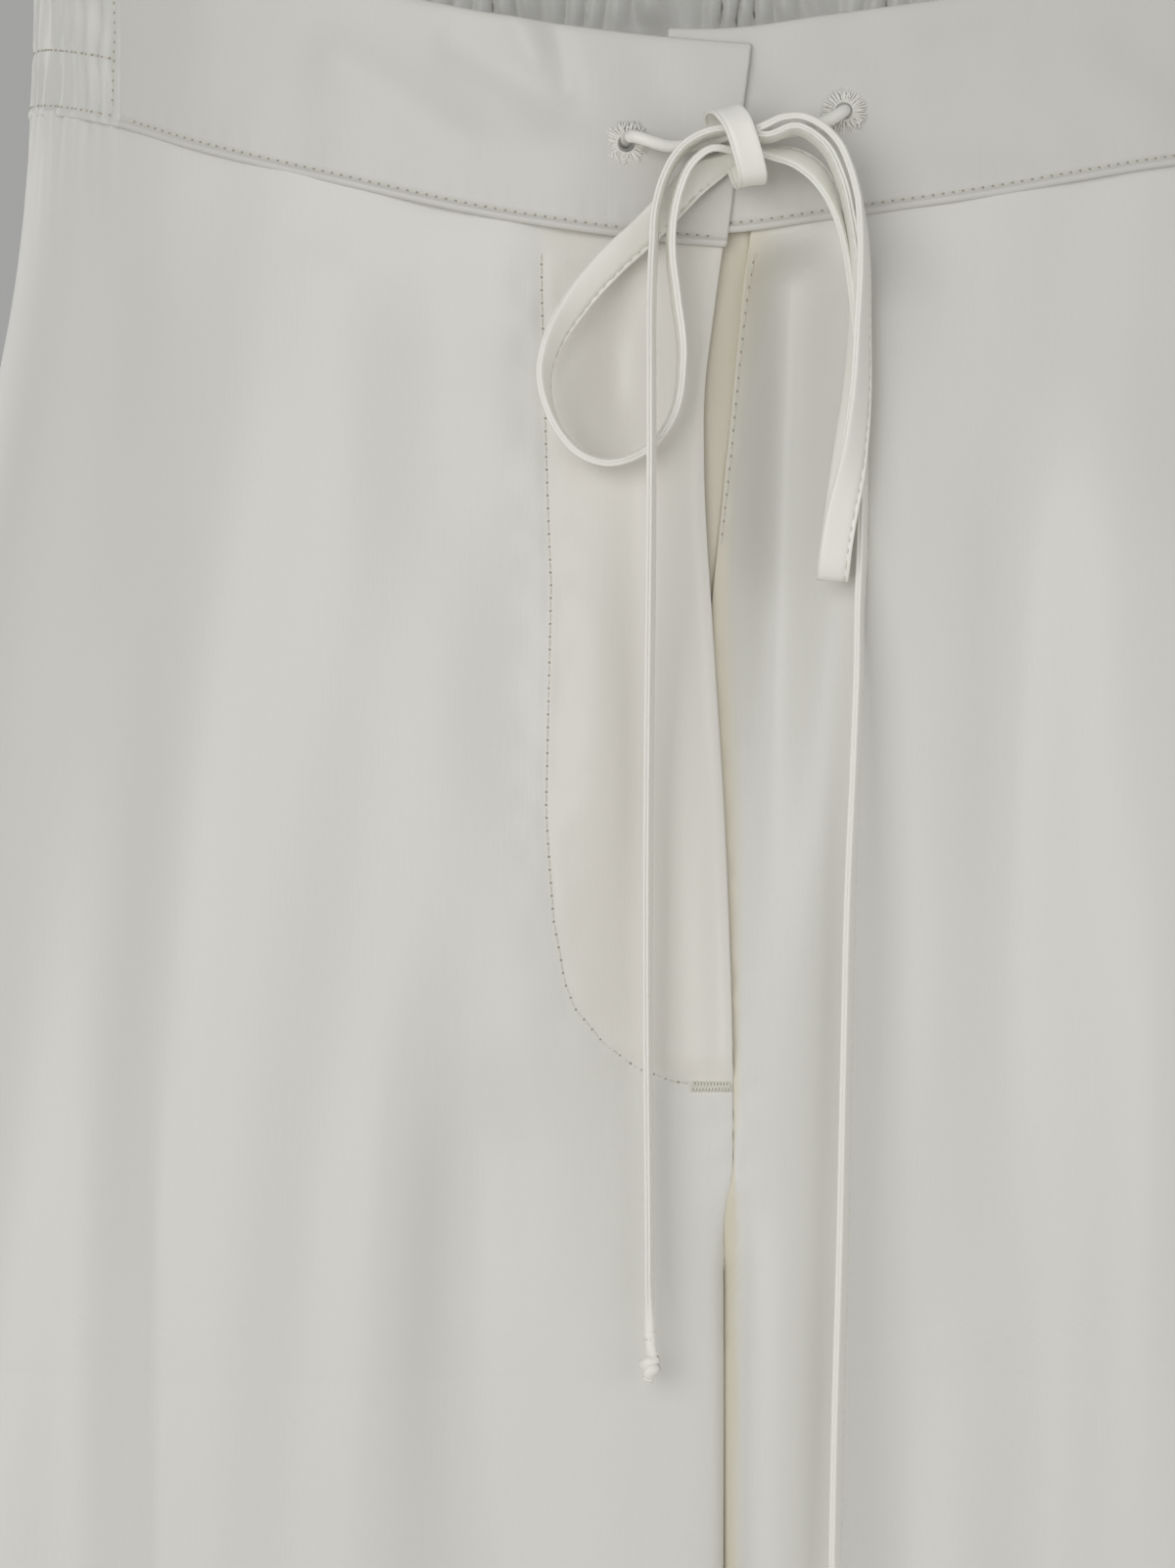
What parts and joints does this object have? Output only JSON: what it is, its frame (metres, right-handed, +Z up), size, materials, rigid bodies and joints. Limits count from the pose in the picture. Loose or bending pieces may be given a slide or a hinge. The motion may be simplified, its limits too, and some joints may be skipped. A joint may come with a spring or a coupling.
{
  "type": "drawstring trousers",
  "caption": "Wide-leg satin trousers with a lapped fly, a flat front waistband, an elastic back waistband and a flat drawstring tied in a bow, filled out as worn.",
  "frame": {"origin": "middle of the waist opening, level with the top edge of the waistband at the centre front, where the wearer's waist holds the trousers", "axes": "+Z up, the front looks towards -Y, +X is the wearer's left"},
  "size_m": [0.476, 0.254, 1.103],
  "materials": {
    "satin": "soft satin weave, ivory",
    "waistband_satin": "soft satin weave, ivory, interlined",
    "drawstring_satin": "satin strip, folded and edge stitched",
    "eyelet_thread": "close buttonhole stitching"
  },
  "bodies": {
    "root": {"front_right": "satin", "front_left": "satin", "back_right": "satin", "back_left": "satin", "fly_underlap": "satin", "waistband_front_right": "waistband_satin", "waistband_front_left": "waistband_satin", "waistband_back": "waistband_satin", "eyelet_right": "eyelet_thread", "eyelet_left": "eyelet_thread", "drawstring_lead_right": "drawstring_satin", "drawstring_lead_left": "drawstring_satin", "bow_loop_right": "drawstring_satin", "bow_loop_left": "drawstring_satin", "drawstring_end_right": "drawstring_satin", "drawstring_end_left": "drawstring_satin", "bow_knot": "drawstring_satin", "end_knot_right": "drawstring_satin", "end_knot_left": "drawstring_satin"}
  },
  "joints": []
}
